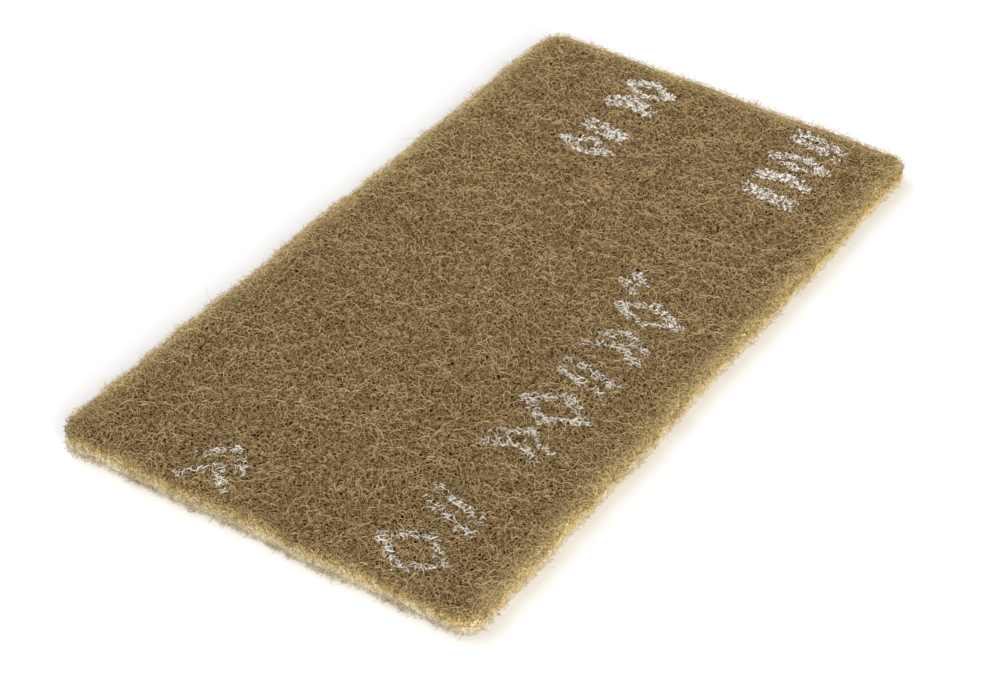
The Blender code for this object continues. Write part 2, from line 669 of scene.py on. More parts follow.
class TubeBundle:
    """Turns centre lines into closed three-sided tubes, all in one mesh."""

    least_points = 2
    sides = 3
    end_share = 0.66
    least_turn = 0.15
    spare_way = (0.31, 0.87, 0.38)

    def __init__(self, name: str, strands: Strands) -> None:
        """Pick the points to draw and number their runs.

        Args:
            name: The piece's name.
            strands: The centre lines.
        """
        self.name = name
        keep = strands.keep
        before = np.zeros_like(keep)
        before[:, 1:] = keep[:, :-1]
        run = np.cumsum((keep & ~before).ravel()).reshape(keep.shape)
        long_enough = np.bincount(run[keep])[run] >= self.least_points
        drawn = keep & long_enough
        self.run = run[drawn]
        self.points = strands.points[drawn]
        self.normals = strands.normals[drawn]
        self.radius = strands.radius[drawn]
        self.tone = strands.tone[drawn]
        self.gild = strands.gild[drawn]

    def rings(self) -> np.ndarray:
        """Place a ring of three points round every centre point.

        The tangent is the difference of the two neighbours. The ring turns from the sideways
        direction, which is tangent times skin normal, towards the outward one. Where a fibre
        runs along the skin normal, a spare direction stands for it. The tubes are a third
        thinner at their ends.

        Returns:
            Vertices, in an array of points by sides by three.
        """
        joined = self.run[1:] == self.run[:-1]
        ahead = self.points.copy()
        ahead[:-1][joined] = self.points[1:][joined]
        behind = self.points.copy()
        behind[1:][joined] = self.points[:-1][joined]
        tangent = ahead - behind
        tangent /= np.maximum(np.linalg.norm(tangent, axis=1, keepdims=True), 1e-12)
        side = np.cross(tangent, self.normals)
        spare = np.cross(tangent, np.array(self.spare_way))
        weak = np.linalg.norm(side, axis=1) < self.least_turn
        side[weak] = spare[weak]
        side /= np.maximum(np.linalg.norm(side, axis=1, keepdims=True), 1e-12)
        up = np.cross(side, tangent)
        inner = np.zeros(len(self.run), bool)
        inner[1:-1] = joined[1:] & joined[:-1]
        radius = self.radius * np.where(inner, 1.0, self.end_share)
        angles = math.pi / 2 + np.arange(self.sides) * 2 * math.pi / self.sides
        turned = (
            np.cos(angles)[None, :, None] * side[:, None]
            + np.sin(angles)[None, :, None] * up[:, None]
        )
        return self.points[:, None] + radius[:, None, None] * turned

    def faces(self) -> tuple[np.ndarray, np.ndarray]:
        """List the side quads between joined rings and the triangles that close each end.

        Returns:
            Quads and triangles as rows of vertex numbers, with their outsides facing out.
        """
        joined = np.flatnonzero(self.run[1:] == self.run[:-1])
        side = np.arange(self.sides)
        here = joined[:, None] * self.sides
        ahead = here + self.sides
        after = (side + 1) % self.sides
        quads = np.stack([here + side, ahead + side, ahead + after, here + after], axis=-1)
        edge = self.run[1:] != self.run[:-1]
        first = np.flatnonzero(np.concatenate([[True], edge]))
        last = np.flatnonzero(np.concatenate([edge, [True]]))
        starts = first[:, None] * self.sides + np.array([0, 1, 2])
        ends = last[:, None] * self.sides + np.array([0, 2, 1])
        return quads.reshape(-1, 4), np.vstack([starts, ends])

    def build(self) -> Piece:
        """Make the piece, with its tone and gilding on each point and a cell map.

        Returns:
            The piece.
        """
        rings = self.rings()
        quads, triangles = self.faces()
        piece = solid_from_faces(self.name, rings.reshape(-1, 3), quads, triangles)
        mark_points(piece, TONE, np.repeat(self.tone, self.sides))
        mark_points(piece, GILD, np.repeat(self.gild, self.sides))
        cell_map(piece, len(quads), len(triangles))
        return piece


def solid_from_faces(
    name: str, vertices: np.ndarray, quads: np.ndarray, triangles: np.ndarray = NO_TRIANGLES
) -> Piece:
    """Make a smooth mesh object from whole arrays.

    Args:
        name: The object's name.
        vertices: Places, a row each.
        quads: Rows of four vertex numbers.
        triangles: Rows of three vertex numbers.

    Returns:
        The object, at the origin and linked to the scene.
    """
    mesh = bpy.data.meshes.new(name)
    corners = np.concatenate([quads.ravel(), triangles.ravel()])
    counts = np.concatenate([np.full(len(quads), 4), np.full(len(triangles), 3)])
    starts = np.concatenate([[0], np.cumsum(counts)[:-1]])
    mesh.vertices.add(len(vertices))
    mesh.vertices.foreach_set("co", vertices.astype(np.float32).ravel())
    mesh.loops.add(len(corners))
    mesh.loops.foreach_set("vertex_index", corners.astype(np.int32))
    mesh.polygons.add(len(counts))
    mesh.polygons.foreach_set("loop_start", starts.astype(np.int32))
    mesh.polygons.foreach_set("loop_total", counts.astype(np.int32))
    mesh.update(calc_edges=True)
    mesh.shade_smooth()
    piece = bpy.data.objects.new(name, mesh)
    bpy.context.scene.collection.objects.link(piece)
    return piece


def mark_points(piece: Piece, name: str, values: np.ndarray) -> None:
    """Store a number on every vertex of a piece."""
    store = piece.data.attributes.new(name, "FLOAT", "POINT")
    store.data.foreach_set("value", values.astype(np.float32))


def cell_map(piece: Piece, quads: int, triangles: int) -> None:
    """Give each face of a bundle a square cell of its own in a map.

    Cells fill rows of a square grid in the order of the faces, so neighbours on a fibre are
    neighbours in the map. A face keeps a margin of a tenth of its cell.

    Args:
        piece: The bundle, with its quads before its triangles.
        quads: How many quads it has.
        triangles: How many triangles it has.
    """
    across = math.ceil(math.sqrt(quads + triangles))
    number = np.arange(quads + triangles)
    corner = np.stack([number % across, number // across], axis=1).astype(float)
    square = np.array([(0.1, 0.1), (0.9, 0.1), (0.9, 0.9), (0.1, 0.9)])
    wedge = np.array([(0.1, 0.1), (0.9, 0.1), (0.5, 0.9)])
    squares = (corner[:quads, None] + square).reshape(-1, 2)
    wedges = (corner[quads:, None] + wedge).reshape(-1, 2)
    places = np.concatenate([squares, wedges])
    layer = piece.data.uv_layers.new(name=BAKE_MAP)
    layer.uv.foreach_set("vector", (places / across).astype(np.float32).ravel())


@dataclass(frozen=True)
class Crimp:
    """How a fibre bends along its length: a slow and a quick swing, a steady turn, a rise."""

    slow_bend: float = 340.0
    quick_bend: float = 380.0
    steady_bend: float = 160.0
    slow_wave: float = 9.0 * MM
    quick_wave: float = 4.2 * MM
    rise: float = 0.9
    rise_wave: float = 3.1 * MM


class Face(Enum):
    """The two broad faces of the pad."""

    UPPER = "upper"
    LOWER = "lower"


@dataclass(kw_only=True)
class Lay:
    """What every lay of fibres shares: its source of chance, its count and its sizes."""

    form: PadForm
    rng: np.random.Generator
    name: str
    count: int
    length: Span
    thickness: Span
    step: float
    tone: Span

    @property
    def points(self) -> int:
        """How many points the longest fibre has."""
        return self.points_in(self.length[1])

    def points_in(self, length: float) -> int:
        """Return how many points a fibre of a length has."""
        return int(length / self.step) + 1

    def each(self, low: float, high: float) -> np.ndarray:
        """Draw a number for each fibre, evenly spread, as a column."""
        return self.rng.uniform(low, high, (self.count, 1))

    def within(self, length: np.ndarray) -> np.ndarray:
        """Tell which points lie within each fibre's length."""
        return np.arange(self.points) * self.step < length

    def radii(self) -> np.ndarray:
        """Draw a radius for each fibre, the same at all its points."""
        return self.each(*self.thickness) + np.zeros(self.points)


@dataclass(kw_only=True)
class CrimpedLay(Lay):
    """A lay of fibres that bend to and fro as they run."""

    crimp: Crimp = Crimp()

    def walk(self) -> np.ndarray:
        """Walk each fibre away from its start.

        The heading is the running sum of the curvature, which is two sine waves of the
        distance walked plus a constant. The slope is a sine wave too. A step is the unit
        vector of that heading and slope, and each fibre rises and falls about its mean.

        Returns:
            Places from the start, in an array of fibres by points by three.
        """
        crimp = self.crimp
        bend = self.each(-1, 1) * crimp.steady_bend + np.zeros(self.points)
        bend = bend + self.wave(crimp.slow_wave) * crimp.slow_bend
        bend = bend + self.wave(crimp.quick_wave) * crimp.quick_bend
        heading = self.each(0, 2 * math.pi) + np.cumsum(bend, axis=1) * self.step
        slope = self.wave(crimp.rise_wave) * crimp.rise
        level = np.cos(slope)
        steps = [np.cos(heading) * level, np.sin(heading) * level, np.sin(slope)]
        places = np.cumsum(np.stack(steps, axis=-1), axis=1) * self.step
        places[..., 2] -= places[..., 2].mean(axis=1, keepdims=True)
        return places

    def wave(self, length: float) -> np.ndarray:
        """Draw a sine wave along each fibre, of random start, size and wavelength.

        Args:
            length: The wavelength, before chance makes it shorter or longer.

        Returns:
            The waves, in an array of fibres by points.
        """
        lengths = length * self.each(0.7, 1.5)
        starts = self.each(0, 2 * math.pi)
        sizes = self.each(0.5, 1.25)
        walked = np.arange(self.points) * self.step
        return sizes * np.sin(2 * math.pi * walked / lengths + starts)


@dataclass(kw_only=True)
class FaceLay(CrimpedLay):
    """One layer of fibres laid over a broad face, over its rims and cut at the outline."""

    face: Face
    depth: Span
    length: Span = (6.0 * MM, 15.0 * MM)
    thickness: Span = (0.1 * MM, 0.14 * MM)
    step: float = 0.66 * MM
    tone: Span = (0.2, 0.8)
    # Painted light and shade by depth: the upper lays are lifted, the deep one lowered.
    tone_shift: float = 0.0
    # Painted light and shade: a fibre is lighter where its walk rises, darker where it sinks.
    painted_depth_shade: float = 0.6 / MM
    # Painted shade: the tone slopes from darker at the -X end to lighter at the +X end.
    painted_light_slope: float = 0.22
    overhang: float = 0.9 * MM
    least_depth: float = -0.4 * MM
    gold_spread_mm: Span = (-1.6, 1.4)
    most_gold: float = 0.85
    takes_ink: bool = False

    def strands(self) -> Strands:
        """Lay the fibres.

        A fibre walks over the plan. Its height is the skin's height over that place, less its
        own depth, plus the rise and fall of its walk. Its tone carries painted light and shade:
        it is lighter where the walk rises and darker where it sinks, and a painted slope makes it
        lighter towards the +X end. It is kept as far as its length and as far as the outline plus
        its own overhang.

        Returns:
            The centre lines on the relaxed pad.
        """
        form = self.form
        walk = self.walk()
        start = self.starts()
        x = start[:, :1] + walk[..., 0]
        y = start[:, 1:] + walk[..., 1]
        inside = form.inside(x, y)
        depth = self.each(*self.depth) - walk[..., 2]
        keep = self.within(self.each(*self.length))
        keep &= inside > -self.each(-0.6, 1.0) * self.overhang
        radius = self.radii()
        tone = self.each(*self.tone) + self.tone_shift
        # Painted light and shade: by the walk's rise and fall, and by a slope along the pad.
        tone = tone + self.painted_depth_shade * walk[..., 2] + self.painted_light_slope * x / form.length
        if self.face is Face.UPPER:
            z = form.fluff_height(inside) - np.maximum(depth, self.least_depth)
            gild = self.gilding(x, y, inside)
            lean = np.clip(1.0 - (inside + form.fluff) / form.top_rim, 0.0, 1.0)
        else:
            lift = np.clip(form.bottom_rim - inside, 0.0, form.bottom_rim) * 0.6
            z = np.maximum(depth, 0.0) + radius + lift
            gild = 1.0 - smooth_step(inside, -0.2 * MM, 2.0 * MM)
            lean = np.zeros_like(inside)
        normals = [np.sign(x) * lean * 0.5, np.sign(y) * lean * 0.5, 1.0 - lean * 0.4]
        normals = np.stack(normals, axis=-1)
        where = form.relax(np.stack([x, y, z], axis=-1))
        return Strands(where, normals, keep, radius, tone, gild)

    def gilding(self, x: np.ndarray, y: np.ndarray, inside: np.ndarray) -> np.ndarray:
        """Gild the fibres of a rim, each to a reach of its own near the form's.

        Args:
            x: Places along the pad.
            y: Places across the pad.
            inside: Distances inside the cut outline.

        Returns:
            Shares of gold from 0 to 1.
        """
        reach = self.form.gold_reach(x, y) + self.each(*self.gold_spread_mm) * MM
        gold = 1.0 - smooth_step(inside, reach - 2.6 * MM, reach + 1.6 * MM)
        return np.maximum(self.most_gold * gold, self.form.tinge(x, inside))

    def starts(self) -> np.ndarray:
        """Spread starting points evenly over the plan.

        Each lies at random in its own cell of a grid, which reaches past the outline by a
        third of a fibre.

        Returns:
            A row of x and y for each fibre.
        """
        spread = np.array([self.form.length, self.form.width]) + self.length[1] * 2 / 3
        columns = round(math.sqrt(self.count * spread[0] / spread[1]))
        rows = self.count // columns
        number = np.arange(self.count)
        cell = np.stack([number % columns, number // columns % rows], axis=1)
        cell = cell + self.rng.uniform(size=(self.count, 2))
        return (cell / np.array([columns, rows]) - 0.5) * spread


@dataclass(kw_only=True)
class WallLay(CrimpedLay):
    """The cut ends and runs of fibre that fill the pad's golden sides."""

    length: Span = (2.0 * MM, 9.0 * MM)
    thickness: Span = (0.05 * MM, 0.075 * MM)
    step: float = 0.58 * MM
    tone: Span = (-0.6, 1.5)
    crimp: Crimp = Crimp(rise=0.45)
    depth: float = 0.45 * MM
    floor: float = 0.1 * MM
    headroom: float = 0.2 * MM

    def strands(self) -> Strands:
        """Lay fibres over the wall.

        A fibre walks in a plane of distance round the outline and height, and its rise and
        fall takes it in and out. It stands back from the outline by the rims' rounding at
        that height and by its own depth.

        Returns:
            The centre lines on the relaxed pad.
        """
        form = self.form
        walk = self.walk()
        along = self.each(0, form.perimeter()) + walk[..., 0]
        z = self.each(0, form.thickness) + walk[..., 1]
        keep = (z > self.floor) & (z < form.thickness - self.headroom)
        keep &= self.within(self.each(*self.length))
        plan, facing = form.outline(along)
        z = np.clip(z, self.floor, form.thickness)
        depth = self.each(0.0, 1.0) * self.depth - walk[..., 2]
        depth = np.maximum(depth, 0.0) - form.fluff
        plan = plan - facing * (form.wall_inset(z) + depth)[..., None]
        radius = self.radii()
        tone, gild = self.looks(plan[..., 0], z)
        normals = np.concatenate([facing, np.full_like(facing[..., :1], 0.15)], axis=-1)
        where = form.relax(np.concatenate([plan, z[..., None]], axis=-1))
        return Strands(where, normals, keep, radius, tone, gild)

    def looks(self, x: np.ndarray, z: np.ndarray) -> tuple[np.ndarray, np.ndarray]:
        """Shade and gild the wall.

        Gold turns to brown near the top, at a height of each fibre's own. The foot is paler,
        a painted glow that stands for the floor's light through the fibres.
        On the -X end's wall it is darker instead, with paler fibres higher up and less gold.

        Args:
            x: Places along the pad.
            z: Heights.

        Returns:
            Tones and shares of gold.
        """
        near_end = 1.0 - self.form.past_near_end(x, 0.0, 6.0 * MM)
        # Painted light: a paler foot stands for the floor's light through the fibres; at the -X
        # end the foot is darker instead.
        pale = (0.6 - 0.9 * near_end) * (1.0 - smooth_step(z, 0.0, 4.0 * MM))
        pale = pale + 0.2 * near_end * smooth_step(z, 2.5 * MM, 4.5 * MM)
        tone = self.each(*self.tone) + pale
        brown_from = self.form.thickness - (self.each(-0.3, 0.8) - 0.2 * near_end) * MM
        brown = smooth_step(z, brown_from - 0.3 * MM, brown_from + 0.9 * MM)
        return tone, (1.0 - 0.85 * brown) * (1.0 - 0.3 * near_end)


@dataclass(kw_only=True)
class StrayLay(Lay):
    """Fibre ends and loops that stand off the sides, as the die left them."""

    heights: Span
    tilt: Span
    length: Span = (1.0 * MM, 3.0 * MM)
    thickness: Span = (0.045 * MM, 0.07 * MM)
    step: float = 0.42 * MM
    tone: Span = (-0.5, 0.6)
    gilding: Span = (0.0, 0.8)
    long_side: float = 1.0
    span: Span = (0.0, 1.0)
    tuft: float = 23.0 * MM
    root_depth: float = 0.7 * MM
    slant: float = 0.8
    swing: float = 0.9
    turn: float = 2500.0

    def strands(self) -> Strands:
        """Grow fibres out of the wall, from roots at random heights in a span of the outline.

        Returns:
            The centre lines on the relaxed pad.
        """
        form = self.form
        along = self.each(*self.span) * form.perimeter()
        height = self.each(*self.heights)
        plan, facing = form.outline(along[:, 0])
        outward = np.concatenate([facing, np.zeros((self.count, 1))], axis=1)
        root = np.concatenate([plan, height], axis=1)
        root = root - outward * (form.wall_inset(height) - form.fluff + self.root_depth)
        where = root[:, None] + self.arcs(outward)
        radius = self.radii()
        near_end = np.clip(-facing[:, :1], 0.0, 1.0)
        far_side = np.clip(facing.sum(axis=1, keepdims=True), 0.0, 1.0)
        keep = self.within(self.lengths(along, facing) * (1.0 - 0.15 * near_end))
        keep &= where[..., 2] > radius
        flat = np.zeros(self.points)
        tone = self.each(*self.tone) + 0.5 * far_side - 0.25 * near_end + flat
        gild = np.maximum(self.each(*self.gilding), 0.0) * (1.0 - 0.25 * near_end) + flat
        normals = np.broadcast_to(UPRIGHT, where.shape)
        return Strands(form.relax(where), normals, keep, radius, tone, gild)

    def arcs(self, outward: np.ndarray) -> np.ndarray:
        """Walk every fibre away from its root.

        A fibre heads off at a random angle from the outward direction. That angle turns
        steadily in the plane of the tilted outward direction and a direction slanted along
        the wall, so that the fibre arcs back.

        Args:
            outward: The outward direction at each root.

        Returns:
            Places from the root, in an array of fibres by points by three.
        """
        tangent = np.stack([-outward[:, 1], outward[:, 0], np.zeros(self.count)], axis=1)
        tilt = self.each(*self.tilt)
        ahead = outward * np.cos(tilt) + UPRIGHT * np.sin(tilt)
        slant = self.each(-self.slant, self.slant)
        sideways = tangent * np.cos(slant) + UPRIGHT * np.sin(slant)
        sideways *= self.rng.choice([-1.0, 1.0], (self.count, 1))
        angle = self.each(-self.swing, self.swing)
        angle = angle + self.each(-self.turn, self.turn) * np.arange(self.points) * self.step
        out = np.cumsum(np.cos(angle), axis=1) * self.step
        off = np.cumsum(np.sin(angle), axis=1) * self.step
        return out[..., None] * ahead[:, None] + off[..., None] * sideways[:, None]

    def lengths(self, along: np.ndarray, facing: np.ndarray) -> np.ndarray:
        """Give each fibre its length.

        Lengths go by the square of an even spread, so that most are short. They are scaled on
        the long sides, and wax and wane along the outline in tufts.

        Args:
            along: Each root's distance round the outline.
            facing: Each root's outward direction in plan.

        Returns:
            A length for each fibre.
        """
        least, most = self.length
        length = least + (most - least) * self.rng.uniform(size=(self.count, 1)) ** 2
        length = length * np.where(np.abs(facing[:, 1:]) > 0.8, self.long_side, 1.0)
        return length * (1.0 + 0.5 * self.form.swell(along, self.tuft, 0.3))


class Motif(Enum):
    """The generic printed marks, each as strokes in a cell that reaches about 1 each way."""

    LOZENGE = (
        ((-1.25, 0), (0, 1.15)),
        ((0, 1.15), (1.25, 0)),
        ((1.25, 0), (0, -1.15)),
        ((0, -1.15), (-1.25, 0)),
    )
    BARS = (((-0.9, -1), (-0.1, 1)), ((0.1, -1), (0.9, 1)))
    CHEVRONS = (
        ((-0.9, 1), (0.0, 0)),
        ((0.0, 0), (-0.9, -1)),
        ((0.1, 1), (1.0, 0)),
        ((1.0, 0), (0.1, -1)),
    )


@dataclass(frozen=True)
class Mark:
    """One printed mark: its centre and half sizes in millimetres, and its motif."""

    x: float
    y: float
    half_width: float
    half_height: float
    motif: Motif

    def strokes(self) -> np.ndarray:
        """Return its strokes' ends in metres, the unit cell scaled to the mark's size."""
        size = np.array([self.half_width, self.half_height])
        return (np.array(self.motif.value, float) * size + np.array([self.x, self.y])) * MM


@dataclass
class Stencil:
    """Where the silver print lies: two lines of marks along the pad, in millimetres.

    Each mark of a line has its place along the pad and its half width. The line gives its
    place across and its half height.
    """

    half_stroke: float = 1.65 * MM
    unevenness: float = 0.42
    near_line: Pair = (-34.3, 7.4)
    near_marks: tuple[Pair, ...] = (
        (-103.5, 5.8),
        (-86.5, 5.4),
        (-56.5, 5.2),
        (-40.5, 4.8),
        (-25.0, 5.0),
        (-8.5, 5.4),
        (6.5, 3.8),
        (74.5, 2.6),
        (84.5, 2.4),
        (94.5, 2.4),
        (106.0, 4.0),
    )
    far_line: Pair = (18.5, 6.4)
    far_marks: tuple[Pair, ...] = (
        (-105.5, 8.0),
        (66.5, 2.8),
        (76.5, 3.2),
        (92.5, 3.0),
        (102.5, 3.4),
    )
    raised_line: Pair = (-24.0, 2.6)
    raised_marks: tuple[Pair, ...] = ((17.5, 5.0),)
    edge_waves: tuple[Triple, ...] = (
        (1.0, 0.5, 1900.0),
        (-0.6, 1.0, 2300.0),
        (1.4, 1.0, 1300.0),
    )

    def marks(self) -> list[Mark]:
        """Lay out the marks line by line, with the motifs in turn.

        Returns:
            Every mark.
        """
        lines = (
            (self.near_line, self.near_marks),
            (self.far_line, self.far_marks),
            (self.raised_line, self.raised_marks),
        )
        rows = [
            (x, y, half_width, half_height)
            for (y, half_height), line in lines
            for x, half_width in line
        ]
        order = (Motif.LOZENGE, Motif.BARS, Motif.CHEVRONS)
        return [Mark(*row, order[number % 3]) for number, row in enumerate(rows)]

    def strokes(self) -> np.ndarray:
        """Return every stroke's two ends in plan, as rows of two points."""
        return np.concatenate([mark.strokes() for mark in self.marks()])

    def covers(self, x: np.ndarray, y: np.ndarray) -> np.ndarray:
        """Tell which places the ink reached.

        A place is inked if its distance to the nearest stroke, a line between two ends, is
        under half the stroke's width, which three crossing sine waves make uneven.

        Args:
            x: Places along the pad.
            y: Places across the pad.

        Returns:
            Whether each place is inked.
        """
        place = np.stack([x, y], axis=-1)
        waves = [np.sin((p * x + q * y) * turns) for p, q, turns in self.edge_waves]
        reach = self.half_stroke * (1.0 + self.unevenness * sum(waves) / len(waves))
        inked = np.zeros(x.shape, bool)
        for first, last in self.strokes():
            run = last - first
            share = ((place - first) @ run) / (run @ run)
            nearest = first + np.clip(share, 0.0, 1.0)[..., None] * run
            inked |= np.linalg.norm(place - nearest, axis=-1) < reach
        return inked


@dataclass(kw_only=True)
class PrintLay(CrimpedLay):
    """Short fibres on top of the web that the ink stuck together.

    The marks past heavy_from took heavy ink, so their fibres lie closer and are short, thick
    flakes, some of them with little ink.
    """

    name: str = "matted_print"
    count: int = 0
    length: Span = (1.3 * MM, 2.9 * MM)
    thickness: Span = (0.075 * MM, 0.2 * MM)
    step: float = 0.4 * MM
    tone: Span = (0.0, 1.0)
    crimp: Crimp = Crimp(220.0, 260.0, 160.0, rise=1.0, rise_wave=2.6 * MM)
    spacing: float = 0.24 * MM
    spread: float = 1.2
    depth_mm: Span = (-0.02, 0.16)
    margin: float = 0.5 * MM
    light_girth: float = 0.62
    light_tone: float = 0.95
    heavy_from: float = 10.0 * MM
    heavy_spacing: float = 0.38
    heavy_girth: float = 1.3

    def strands(self) -> Strands:
        """Lay the fibres along the strokes.

        Fibres start at random places on each stroke, as many as its length over the spacing,
        and a little past half a stroke's width to its side. Radii go by the square of an even
        spread. All fibres are kept under the stencil.

        Returns:
            The centre lines on the relaxed pad.
        """
        stencil = Stencil()
        strokes = stencil.strokes()
        runs = strokes[:, 1] - strokes[:, 0]
        heavy = strokes[:, 0, 0] > self.heavy_from
        spacing = np.where(heavy, self.heavy_spacing, 1.0) * self.spacing
        fibres = np.ceil(np.linalg.norm(runs, axis=1) / spacing).astype(int)
        stroke = np.repeat(np.arange(len(strokes)), fibres)
        heavy = heavy[stroke, None]
        self.count = len(stroke)
        share = self.each(-0.05, 1.05)
        aside = self.rng.uniform(-1, 1, (self.count, 2)) * stencil.half_stroke * self.spread
        start = strokes[stroke, 0] + share * runs[stroke] + aside
        walk = self.walk()
        x = start[:, :1] + walk[..., 0]
        y = start[:, 1:] + walk[..., 1]
        inside = self.form.inside(x, y)
        depth = self.each(*self.depth_mm) * MM - walk[..., 2] * 0.7
        z = self.form.fluff_height(inside) - depth
        least = self.points_in(self.length[0])
        last = self.rng.integers(least, self.points + 1, (self.count, 1))
        last = np.where(heavy, last // 2 + 1, last)
        keep = stencil.covers(x, y) & (np.arange(self.points) < last) & (inside > self.margin)
        thin, thick = self.thickness
        radius = thin + (thick - thin) * self.rng.uniform(size=(self.count, 1)) ** 2
        flat = np.zeros_like(x)
        radius = radius * np.where(heavy, self.heavy_girth, self.light_girth) + flat
        normals = np.broadcast_to(UPRIGHT, walk.shape)
        where = self.form.relax(np.stack([x, y, z], axis=-1))
        tone = np.where(heavy, self.each(*self.tone), self.light_tone) + flat
        return Strands(where, normals, keep, radius, tone, flat)


@dataclass
class CoreSlab:
    """The dense middle of the web: a closed slab under the skin that fills the cut outline.

    Its sides stand a little past the cut, as a real web's do.
    """

    form: PadForm
    rng: np.random.Generator
    pitch: float = 2.3 * MM
    top_depth: float = 0.36 * MM
    side_depth: float = -0.4 * MM
    rim: float = 1.2 * MM
    base_height: float = 0.55 * MM
    rim_lines: int = 5
    wall_rings: int = 3
    lump: float = 0.04 * MM
    lump_waves: tuple[float, ...] = (14.0, 9.0, 6.0, 4.5, 3.6)
    lump_turns: int = 3

    def lines(self, half: float, rim: float) -> np.ndarray:
        """Space grid lines evenly, and closer together over the rim's rounding.

        Args:
            half: Half the slab's size that way.
            rim: The rim's rounding.

        Returns:
            Places from one edge to the other.
        """
        turns = np.linspace(0.0, math.pi / 2, self.rim_lines + 1)
        near_edge = half - rim * (1.0 - np.cos(turns))
        bays = max(2, round(2 * (half - rim) / self.pitch))
        middle = np.linspace(-(half - rim), half - rim, bays + 1)[1:-1]
        return np.concatenate([-near_edge, middle, near_edge[::-1]])

    def build(self) -> Piece:
        """Make the slab as two mapped grids joined by a wall.

        A square grid over the plan is drawn in at its corners: in each corner's square, a
        place at (a, b) from the corner's centre is scaled by the larger of a and b over
        their hypotenuse, so the grid's border follows the round corner.

        Returns:
            The slab, closed, with its gilding on each vertex.
        """
        form = self.form
        half_x = form.length / 2 - self.side_depth
        half_y = form.width / 2 - self.side_depth
        radius = form.corner_radius - self.side_depth
        lines_x, lines_y = self.lines(half_x, self.rim), self.lines(half_y, self.rim)
        x, y = np.meshgrid(lines_x, lines_y, indexing="ij")
        past_x = np.maximum(np.abs(x) - (half_x - radius), 0.0)
        past_y = np.maximum(np.abs(y) - (half_y - radius), 0.0)
        far = np.hypot(past_x, past_y)
        draw = np.where(far > 0, np.maximum(past_x, past_y) / np.maximum(far, 1e-12), 1.0)
        x = x - np.sign(x) * past_x * (1.0 - draw)
        y = y - np.sign(y) * past_y * (1.0 - draw)
        inside = form.inside(x, y) - self.side_depth
        lumps = self.lumps(x, y) * smooth_step(inside, 0.0, 2.0 * MM)
        top = form.top_height(np.maximum(inside, 0.0), self.rim) - self.top_depth + lumps
        reach = np.clip(form.bottom_rim - inside, 0.0, form.bottom_rim)
        base = self.base_height + form.bottom_rim - np.sqrt(form.bottom_rim**2 - reach**2)
        upper = np.stack([x, y, top], axis=-1)
        lower = np.stack([x, y, base - 0.4 * lumps], axis=-1)
        piece = self.close(upper, lower)
        self.map_faces(piece, lines_x, lines_y)
        return piece

    def unrolled(self, lines: np.ndarray) -> np.ndarray:
        """Lay grid lines out flat, with the rim's bays as wide as their arcs.

        Args:
            lines: The grid's lines one way.

        Returns:
            Their places from 0 to 1.
        """
        bays = np.diff(lines)
        arc = self.rim * math.pi / 2 / self.rim_lines
        bays[: self.rim_lines] = arc
        bays[-self.rim_lines :] = arc
        walked = np.concatenate([[0.0], np.cumsum(bays)])
        return walked / walked[-1]

    def map_faces(
        self, piece: Piece, lines_x: np.ndarray, lines_y: np.ndarray
    ) -> None:
        """Lay the slab's faces out in a map.

        The upper grid fills the map's upper half, with each line at its unrolled place. The
        lower grid lies under it, at three quarters of that size. The wall lies at the foot in
        two strips, each with half of the border's bays, all of one width.

        Args:
            piece: The slab, its faces in the order in which close lists them.
            lines_x: The grid's lines along the pad.
            lines_y: The grid's lines across the pad.
        """
        u, v = self.unrolled(lines_x), self.unrolled(lines_y)
        grid = np.stack(np.meshgrid(u, v, indexing="ij"), axis=-1)
        corners = (grid[:-1, :-1], grid[1:, :-1], grid[1:, 1:], grid[:-1, 1:])
        cells = np.stack(corners, axis=2).reshape(-1, 4, 2)
        upper = cells * (0.98, 0.48) + (0.01, 0.51)
        lower = cells[:, ::-1] * (0.73, 0.36) + (0.01, 0.14)
        places = [upper, lower]
        bays = 2 * (len(lines_x) + len(lines_y)) - 4
        strip_bays = math.ceil(bays / 2)
        strip, along = np.divmod(np.arange(bays), strip_bays)
        levels = self.wall_rings + 1
        for level in range(levels):
            across = 0.01 + 0.98 * (along[:, None] + np.array([0, 0, 1, 1])) / strip_bays
            up = 0.01 + 0.06 * strip[:, None] + 0.045 * (level + np.array([0, 1, 1, 0])) / levels
            places.append(np.stack([across, up], axis=-1))
        layer = piece.data.uv_layers.new(name=BAKE_MAP)
        layer.uv.foreach_set("vector", np.concatenate(places).astype(np.float32).ravel())

    def lumps(self, x: np.ndarray, y: np.ndarray) -> np.ndarray:
        """Work out a lumpy relief: the sum of crossing sine waves, lump_turns of each length.

        Args:
            x: Places along the pad.
            y: Places across the pad.

        Returns:
            Heights.
        """
        relief = np.zeros_like(x)
        for wave in np.repeat(self.lump_waves, self.lump_turns):
            turn, start = self.rng.uniform(0, 2 * math.pi, 2)
            along = x * math.cos(turn) + y * math.sin(turn)
            relief += np.sin(2 * math.pi * along / (wave * MM) + start)
        return self.lump * relief / self.lump_turns

